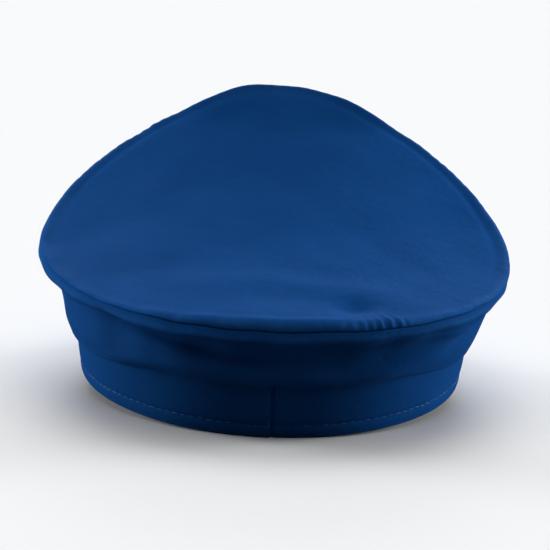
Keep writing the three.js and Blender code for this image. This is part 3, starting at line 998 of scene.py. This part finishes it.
LEVEL = np.array([1, 1, 0])
UPWARDS = np.array([0, 0, 1])
draw = np.random.default_rng(51)
hem_count = int(HEM_ROUND / STITCH_PITCH)
fine_turns = np.linspace(0, 360, 1441)
starts = (np.arange(hem_count) + draw.uniform(-0.05, 0.05, hem_count)) * HEM_ROUND / hem_count
along = starts[:, None] + STITCH_RINGS[None] * STITCH_LENGTH / 2
stitch_turns = np.interp(np.mod(along, HEM_ROUND), round_length(fine_turns), fine_turns)
stitch_heights = STITCH_HEIGHT + draw.normal(0, 0.1 * MM, hem_count)[:, None] + 0 * along
paths = band_point(stitch_turns, stitch_heights)
outwards = outward_of(band_point, stitch_turns, stitch_heights, 0.05, paths * LEVEL)
tack_turn = LAP_PLACE + np.array([[0.1], [0.26]]) + 0.1 * STITCH_RINGS[None]
tack_height = STITCH_HEIGHT + 0.4 * MM + 1.7 * MM * STITCH_RINGS[None] + 0 * tack_turn
tack_paths = band_point(tack_turn, tack_height)
tack_outwards = outward_of(band_point, tack_turn, tack_height, 0.02, tack_paths * LEVEL)
all_paths = np.concatenate([paths, tack_paths])
all_outwards = np.concatenate([outwards, tack_outwards])
hem_sunk = np.append(draw.uniform(-0.02, 0.24, hem_count), [-0.15, -0.15]) * MM
hem_stitches = stitches_object("hem_stitches", standing(all_paths), tipped(all_outwards), hem_sunk)

# %% Stitches of the peak
PEAK_STITCH_INSET = 3.6 * MM
PEAK_STITCH_SPREAD = 61


def peak_point(aside, inset):
    """Points of the peak's upper face, at an inset from its outer edge."""
    flat = aside.ravel()
    share = 1 - inset.ravel() / (peak_reach(flat) - PEAK_EDGE_ROOM)
    return peak_face(flat, share[:, None])[:, 0].reshape(aside.shape + (3,))


fine_asides = np.linspace(-PEAK_STITCH_SPREAD, PEAK_STITCH_SPREAD, 801)
edge_line = peak_point(fine_asides, np.full_like(fine_asides, PEAK_STITCH_INSET))
edge_run = np.append(0, np.cumsum(np.linalg.norm(np.diff(edge_line, axis=0), axis=-1)))
peak_count = int(edge_run[-1] / STITCH_PITCH)
starts = (np.arange(peak_count) + 0.5 + draw.uniform(-0.05, 0.05, peak_count)) * STITCH_PITCH
along = starts[:, None] + STITCH_RINGS[None] * STITCH_LENGTH / 2
stitch_asides = np.interp(along, edge_run, fine_asides)
insets = np.full_like(stitch_asides, PEAK_STITCH_INSET)
paths = peak_point(stitch_asides, insets)
outwards = outward_of(peak_point, stitch_asides, insets, 0.05, UPWARDS)
peak_sunk = draw.uniform(-0.02, 0.08, peak_count) * MM
peak_stitches = stitches_object("peak_stitches", standing(paths), tipped(outwards), peak_sunk)
print("stitches:", hem_count, "round the hem,", peak_count, "round the peak")

# %% [markdown]
# ## The blue cloth
#
# The cloth is a fine twill: its threads cross so that close diagonal ribs run over it, about
# half a millimetre apart. From a metre away nobody sees a rib, but they make the surface
# dull and lively. Over the ribs lie broader things: dye that took a little unevenly, soft
# crumples that pressing never quite removes, and folds and edges rubbed paler by hands.
#
# Each of these effects is a node group, built once, and each finish places them with its own
# values. The ribs follow the cloth, so they read the UV map, which holds metres of cloth. The
# broad effects read Object coordinates and run on from piece to piece.

# %% Node groups for cloth
SOCKETS = {"value": "NodeSocketFloat", "vector": "NodeSocketVector", "colour": "NodeSocketColor"}


def new_group(name, inputs, outputs):
    """An empty shader node group with named sockets; gives its tree, start and end nodes."""
    tree = bpy.data.node_groups.new(name, "ShaderNodeTree")
    for socket, kind in inputs.items():
        tree.interface.new_socket(socket, in_out="INPUT", socket_type=SOCKETS[kind])
    for socket, kind in outputs.items():
        tree.interface.new_socket(socket, in_out="OUTPUT", socket_type=SOCKETS[kind])
    return tree, tree.nodes.new("NodeGroupInput"), tree.nodes.new("NodeGroupOutput")


def feed(tree, socket, value):
    """What goes into a socket: another node's output, which is linked to it, or a constant."""
    if isinstance(value, bpy.types.NodeSocket):
        tree.links.new(value, socket)
    else:
        socket.default_value = value


def add_node(tree, kind, settings=None, inputs=None):
    """A node with its settings, and what goes into its sockets."""
    node = tree.nodes.new(kind)
    for name, value in (settings or {}).items():
        setattr(node, name, value)
    for name, value in (inputs or {}).items():
        feed(tree, node.inputs[name], value)
    return node


def placed(tree, group, inputs):
    """A node group placed in a tree; gives its only output."""
    return add_node(tree, "ShaderNodeGroup", {"node_tree": group}, inputs).outputs[0]


def math_node(tree, operation, *operands):
    """A Math node on numbers or outputs; gives its result."""
    node = add_node(tree, "ShaderNodeMath", {"operation": operation}, dict(enumerate(operands)))
    return node.outputs["Value"]


def clamped(tree, value):
    """A value kept between 0 and 1."""
    return add_node(tree, "ShaderNodeClamp", None, {"Value": value}).outputs["Result"]


def colour_mix(tree, factor, first, second):
    """A Mix node between two colours, each a tuple or an output; gives its result."""
    node = add_node(tree, "ShaderNodeMix", {"data_type": "RGBA"}, {"Factor": factor})
    for name, colour in (("A", first), ("B", second)):
        feed(tree, next(s for s in node.inputs if s.name == name and s.type == "RGBA"), colour)
    return next(s for s in node.outputs if s.type == "RGBA")


def build_ribs():
    """Diagonal ribs with small faults, and threads across them, from cloth coordinates."""
    inputs = {"Cloth": "vector", "Rib Scale": "value", "Fault": "value"}
    tree, start, end = new_group("twill_ribs", inputs, {"Height": "value"})
    lie = {"Vector": start.outputs["Cloth"], "Scale": start.outputs["Rib Scale"]}
    faults = {"Distortion": start.outputs["Fault"], "Detail": 2.0, "Detail Scale": 0.4}
    waves = []
    for way, extra in (("DIAGONAL", faults), ("X", {})):
        bands = {"wave_type": "BANDS", "bands_direction": way}
        waves.append(add_node(tree, "ShaderNodeTexWave", bands, {**lie, **extra}).outputs["Fac"])
    ribs, threads = waves
    both = math_node(tree, "MULTIPLY_ADD", threads, 0.35, ribs)
    tree.links.new(math_node(tree, "MULTIPLY", both, 0.74), end.inputs["Height"])
    return tree


def build_patches():
    """Soft patches of a given size in metres, from 0 to 1 about a half."""
    inputs = {"Place": "vector", "Size": "value", "Contrast": "value"}
    tree, start, end = new_group("soft_patches", inputs, {"Patch": "value"})
    scale = math_node(tree, "DIVIDE", 1.0, start.outputs["Size"])
    look = {"Vector": start.outputs["Place"], "Scale": scale, "Detail": 3.0, "Roughness": 0.55}
    noise = add_node(tree, "ShaderNodeTexNoise", None, look)
    away = math_node(tree, "SUBTRACT", noise.outputs["Fac"], 0.5)
    patch = math_node(tree, "MULTIPLY_ADD", away, start.outputs["Contrast"], 0.5)
    tree.links.new(clamped(tree, patch), end.inputs["Patch"])
    return tree


def build_rubbed():
    """Rubbed edges: the edge mark, broken up by patches and gone where it is weak."""
    inputs = {"Edge": "value", "Patch": "value", "Amount": "value"}
    tree, start, end = new_group("rubbed_edges", inputs, {"Mask": "value"})
    broken = math_node(tree, "MULTIPLY_ADD", start.outputs["Patch"], 0.8, 0.35)
    mark = math_node(tree, "MULTIPLY", start.outputs["Edge"], broken)
    mask = math_node(tree, "MULTIPLY", mark, start.outputs["Amount"])
    tree.links.new(clamped(tree, mask), end.inputs["Mask"])
    return tree


TWILL_RIBS = build_ribs()
SOFT_PATCHES = build_patches()
RUBBED_EDGES = build_rubbed()
RIBS_ROUND_HEM = 1250
RIB_SCALE = 0.2 * np.pi * RIBS_ROUND_HEM / HEM_ROUND
print("ribs are", round(HEM_ROUND / RIBS_ROUND_HEM / MM, 2), "mm apart")

# %% The finish of a blue cloth
DEEP_BLUE = (0.0026, 0.044, 0.182, 1)
CLEAR_BLUE = (0.0062, 0.070, 0.262, 1)
RUBBED_BLUE = (0.020, 0.105, 0.345, 1)
SHEEN_BLUE = (0.32, 0.52, 1.0, 1)


def new_finish(name, values):
    """A material with constant values on its shader; gives it, its tree and its shader."""
    finish = bpy.data.materials.new(name)
    finish.use_nodes = True
    shader = finish.node_tree.nodes["Principled BSDF"]
    for socket, value in values.items():
        shader.inputs[socket].default_value = value
    return finish, finish.node_tree, shader


def cover(tree, shader, colour, roughness, height):
    """Colour and roughness into the shader, and a bump of the height in millimetres."""
    relief = {"Strength": 1.0, "Distance": 1 * MM, "Height": height}
    bump = add_node(tree, "ShaderNodeBump", None, relief)
    tree.links.new(colour, shader.inputs["Base Color"])
    tree.links.new(roughness, shader.inputs["Roughness"])
    tree.links.new(bump.outputs["Normal"], shader.inputs["Normal"])


def cloth_finish(name, crumple, rubbed):
    """Blue twill. Crumple is the depth of its soft crumples in mm, rubbed the edge wear."""
    values = {
        "Specular IOR Level": 0.004,
        "Sheen Weight": 0.03,
        "Sheen Roughness": 0.25,
        "Sheen Tint": SHEEN_BLUE,
    }
    finish, tree, shader = new_finish(name, values)
    place = add_node(tree, "ShaderNodeTexCoord").outputs["Object"]
    along_cloth = add_node(tree, "ShaderNodeUVMap", {"uv_map": "cloth"}).outputs["UV"]
    edge = add_node(tree, "ShaderNodeAttribute", {"attribute_name": "edge"}).outputs["Fac"]

    def patches(size, contrast):
        return placed(tree, SOFT_PATCHES, {"Place": place, "Size": size, "Contrast": contrast})

    ribs = placed(tree, TWILL_RIBS, {"Cloth": along_cloth, "Rib Scale": RIB_SCALE, "Fault": 0.6})
    broad = patches(0.035, 1.6)
    fine = patches(0.003, 1.4)
    shade = math_node(tree, "MULTIPLY_ADD", ribs, 0.3, math_node(tree, "MULTIPLY", broad, 0.45))
    shade = math_node(tree, "MULTIPLY_ADD", fine, 0.25, shade)
    dyed = colour_mix(tree, shade, DEEP_BLUE, CLEAR_BLUE)
    worn = {"Edge": edge, "Patch": patches(0.006, 2.4), "Amount": rubbed}
    colour = colour_mix(tree, placed(tree, RUBBED_EDGES, worn), dyed, RUBBED_BLUE)
    rough = math_node(tree, "MULTIPLY_ADD", fine, 0.25, 0.55)
    low = math_node(tree, "MULTIPLY", patches(0.012, 1.5), crumple)
    high = math_node(tree, "MULTIPLY_ADD", ribs, 0.05, math_node(tree, "MULTIPLY", fine, 0.05))
    cover(tree, shader, colour, rough, math_node(tree, "ADD", low, high))
    return finish


# %% The finish of the sewing thread
THREAD_TWIST = 0.42 * MM
THREAD_DEEP = (0.004, 0.05, 0.2, 1)
THREAD_CLEAR = (0.034, 0.19, 0.54, 1)


def thread_finish(name):
    """Two-ply thread, a little paler than the cloth: twisted ribs along each stitch."""
    values = {"Specular IOR Level": 0.15, "Sheen Weight": 0.05, "Sheen Tint": SHEEN_BLUE}
    finish, tree, shader = new_finish(name, values)
    along = add_node(tree, "ShaderNodeUVMap", {"uv_map": "cloth"}).outputs["UV"]
    place = add_node(tree, "ShaderNodeTexCoord").outputs["Object"]
    plies = {"Cloth": along, "Rib Scale": 0.2 * np.pi / THREAD_TWIST, "Fault": 0.2}
    twist = placed(tree, TWILL_RIBS, plies)
    faded = placed(tree, SOFT_PATCHES, {"Place": place, "Size": 0.012, "Contrast": 3.5})
    shade = math_node(tree, "MULTIPLY_ADD", twist, 0.35, math_node(tree, "MULTIPLY", faded, 0.65))
    colour = colour_mix(tree, shade, THREAD_DEEP, THREAD_CLEAR)
    rough = math_node(tree, "MULTIPLY_ADD", twist, -0.15, 0.6)
    cover(tree, shader, colour, rough, math_node(tree, "MULTIPLY", twist, 0.06))
    return finish


crown_finish = cloth_finish("loose_blue_cloth", crumple=0.27, rubbed=0.35)
firm_finish = cloth_finish("firm_blue_cloth", crumple=0.16, rubbed=0.35)
thread = thread_finish("blue_thread")

# %% Finishes, bodies, and the solids that the pieces replace
for piece, node, finish in (
    (band, "band", firm_finish),
    (side_crown, "side_crown", crown_finish),
    (top_panel, "top_panel", crown_finish),
    (peak, "peak", firm_finish),
    (hem_stitches, None, thread),
    (peak_stitches, None, thread),
):
    piece.data.materials.append(finish)
    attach(piece, "root")
    if node:
        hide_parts(node)


def half_surface(piece):
    """Area of a thin wall's cloth: half of its whole surface, in square metres."""
    areas = np.empty(len(piece.data.polygons))
    piece.data.polygons.foreach_get("area", areas)
    return float(areas.sum() / 2)


for piece in (band, side_crown, top_panel):
    print(piece.name, "has", round(half_surface(piece), 4), "m2 of cloth")

# %% [markdown]
# ## What each cloth is cut from
#
# Three of the pieces are sheets of cloth, each cut from a flat blank: an oval for the top panel,
# a ring that is high at the front and low at the back for the side crown, and a straight strip
# for the band. The sizes are estimates. The side crown's is the roughest: along the finished
# cloth its ring is about 0.74 m round, and 0.09 m high at most.

# %% [markdown]
# ## The studio
#
# The hat stands on a wide sheet of pale paper. Its eight lamps are large soft patches of
# light on the studio's far walls, so they are painted on the world: each is bright in its
# middle and fades out towards its rim. A high one and a low one stand behind the hat, and
# two very low ones, the strongest, at its sides and a little behind it. A weaker high one and
# a faint lower one are on the camera's side, and a faint one higher up at either side. The
# side facing the camera gets little light of its own, which leaves the band dark.
#
# Paper this pale would throw much light back up under the hat. The sheet is therefore only
# pale for the camera, and darker for the light that bounces off it.

# %% The paper floor
FLOOR_HALF = 9.0
FLOOR_SEEN = (0.75, 0.76, 0.77, 1)
FLOOR_BOUNCE = (0.15, 0.15, 0.15, 1)

floor_mesh = bpy.data.meshes.new("floor")
corners = np.array([(-1, -1, 0), (1, -1, 0), (1, 1, 0), (-1, 1, 0)]) * FLOOR_HALF
floor_mesh.from_pydata(corners.tolist(), [], [(0, 1, 2, 3)])
floor = bpy.data.objects.new("floor", floor_mesh)
bpy.context.collection.objects.link(floor)
paper, tree, shader = new_finish("floor_paper", {"Roughness": 0.9, "Specular IOR Level": 0.0})
by_camera = add_node(tree, "ShaderNodeLightPath").outputs["Is Camera Ray"]
colour = colour_mix(tree, by_camera, FLOOR_BOUNCE, FLOOR_SEEN)
tree.links.new(colour, shader.inputs["Base Color"])
floor_mesh.materials.append(paper)

# %% The lamps
STUDIO_LIGHT = 0.02
WALL_SEEN = (0.9, 0.91, 0.92, 1)
LAMPS = [
    dict(azimuth=0, height=56, inner=10, outer=34, strength=3.4),
    dict(azimuth=180, height=70, inner=10, outer=30, strength=1.35),
    dict(azimuth=180, height=35, inner=10, outer=30, strength=0.2),
    dict(azimuth=90, height=60, inner=10, outer=30, strength=0.35),
    dict(azimuth=-90, height=35, inner=10, outer=30, strength=0.55),
    dict(azimuth=0, height=12, inner=6, outer=20, strength=10.0),
    dict(azimuth=67, height=3, inner=6, outer=20, strength=27.0),
    dict(azimuth=-65, height=3, inner=6, outer=20, strength=29.5),
]


def build_lamp():
    """How bright a direction is in one soft round lamp, on top of the light before it."""
    inputs = {"Direction": "vector", "Aim": "vector"}
    inputs.update(dict.fromkeys(("Outer", "Inner", "Strength", "Before"), "value"))
    tree, start, end = new_group("soft_lamp", inputs, {"Light": "value"})
    given = start.outputs
    both = {0: given["Direction"], 1: given["Aim"]}
    along = add_node(tree, "ShaderNodeVectorMath", {"operation": "DOT_PRODUCT"}, both)
    rim = {"Value": along.outputs["Value"], "From Min": given["Outer"], "From Max": given["Inner"]}
    fade = add_node(tree, "ShaderNodeMapRange", {"interpolation_type": "SMOOTHSTEP"}, rim)
    parts = fade.outputs["Result"], given["Strength"], given["Before"]
    tree.links.new(math_node(tree, "MULTIPLY_ADD", *parts), end.inputs["Light"])
    return tree


world = bpy.data.worlds.new("studio")
bpy.context.scene.world = world
world.use_nodes = True
tree = world.node_tree
direction = add_node(tree, "ShaderNodeTexCoord").outputs["Generated"]
soft_lamp = build_lamp()
light = STUDIO_LIGHT
for lamp in LAMPS:
    azimuth, height = lamp["azimuth"] * RADIANS, lamp["height"] * RADIANS
    across = np.cos(height)
    inputs = {
        "Direction": direction,
        "Aim": (np.sin(azimuth) * across, -np.cos(azimuth) * across, np.sin(height)),
        "Outer": np.cos(lamp["outer"] * RADIANS),
        "Inner": np.cos(lamp["inner"] * RADIANS),
        "Strength": lamp["strength"],
        "Before": light,
    }
    light = placed(tree, soft_lamp, inputs)
by_camera = add_node(tree, "ShaderNodeLightPath").outputs["Is Camera Ray"]
colour = colour_mix(tree, by_camera, light, WALL_SEEN)
tree.links.new(colour, tree.nodes["Background"].inputs["Color"])
print("lamps:", len(LAMPS))

# %% Camera
CAMERA_LENS = 163
CAMERA_SENSOR = 36
CAMERA_ASIDE = -0.0005
CAMERA_BACK = 1.1227
CAMERA_HEIGHT = 0.2489
CAMERA_PITCH = 9.93 * RADIANS
CAMERA_ROLL = 2.5 * RADIANS
back_edge = np.array([0, HEM_HALF_LENGTH, table_height(HEM_HALF_LENGTH)])
hem_back = float(standing(back_edge)[1])
aim = np.array([0, hem_back - HEM_HALF_LENGTH, 0])
camera = bpy.data.objects.new("camera", bpy.data.cameras.new("camera"))
camera.data.lens = CAMERA_LENS
camera.data.sensor_width = CAMERA_SENSOR
look = np.array([0, -np.cos(CAMERA_PITCH), -np.sin(CAMERA_PITCH)])
level_up = np.array([0, -np.sin(CAMERA_PITCH), np.cos(CAMERA_PITCH)])
level_right = np.array([-1.0, 0, 0])
right = level_right * np.cos(CAMERA_ROLL) + level_up * np.sin(CAMERA_ROLL)
up = level_up * np.cos(CAMERA_ROLL) - level_right * np.sin(CAMERA_ROLL)
turn = Matrix([right, up, -look]).transposed().to_4x4()
camera.matrix_world = Matrix.Translation(aim + [CAMERA_ASIDE, CAMERA_BACK, CAMERA_HEIGHT]) @ turn
bpy.context.collection.objects.link(camera)
bpy.context.scene.camera = camera
bpy.context.scene.view_settings.view_transform = "Standard"
print("camera at", np.round(camera.matrix_world.translation, 3), "hem back", hem_back)
